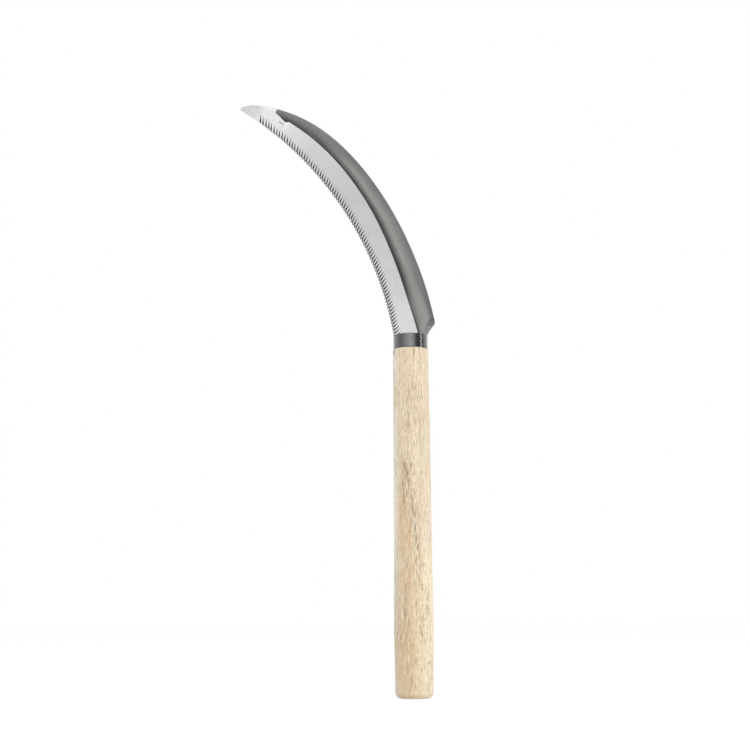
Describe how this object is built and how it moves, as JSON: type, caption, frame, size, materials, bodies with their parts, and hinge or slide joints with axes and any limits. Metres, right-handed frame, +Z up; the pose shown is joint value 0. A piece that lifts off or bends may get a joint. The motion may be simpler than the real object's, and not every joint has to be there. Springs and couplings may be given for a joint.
{
  "type": "hand sickle",
  "caption": "Serrated hand sickle: a curved single-bevel saw blade with its tang pinned in a straight turned wooden handle under a steel ferrule, with a clear tip guard.",
  "frame": {"origin": "centre of the flat butt end of the handle", "axes": "+Z up the handle towards the blade; the blade lies in the XZ plane with its point towards -X; the ground bevel faces -Y"},
  "size_m": [0.1341, 0.0258, 0.4039],
  "materials": {
    "blade_steel": "bright ground bevel and point, dark grey satin back band",
    "handle_wood": "plain sanded pale hardwood with fine pore flecks",
    "ferrule_black": "glossy black steel band",
    "pin_steel": "plain drawn nail",
    "guard_clear": "thin clear soft plastic"
  },
  "bodies": {
    "sickle": {"blade": "blade_steel", "handle": "handle_wood", "ferrule": "ferrule_black", "tang_pin": "pin_steel"},
    "guard": {"tip_guard": "guard_clear"}
  },
  "joints": [
    {"name": "tip_guard_pull", "type": "slide", "parent": "sickle", "child": "guard", "axis": [-0.8829, 0, 0.4695], "range_m": [0, 0.04]}
  ]
}
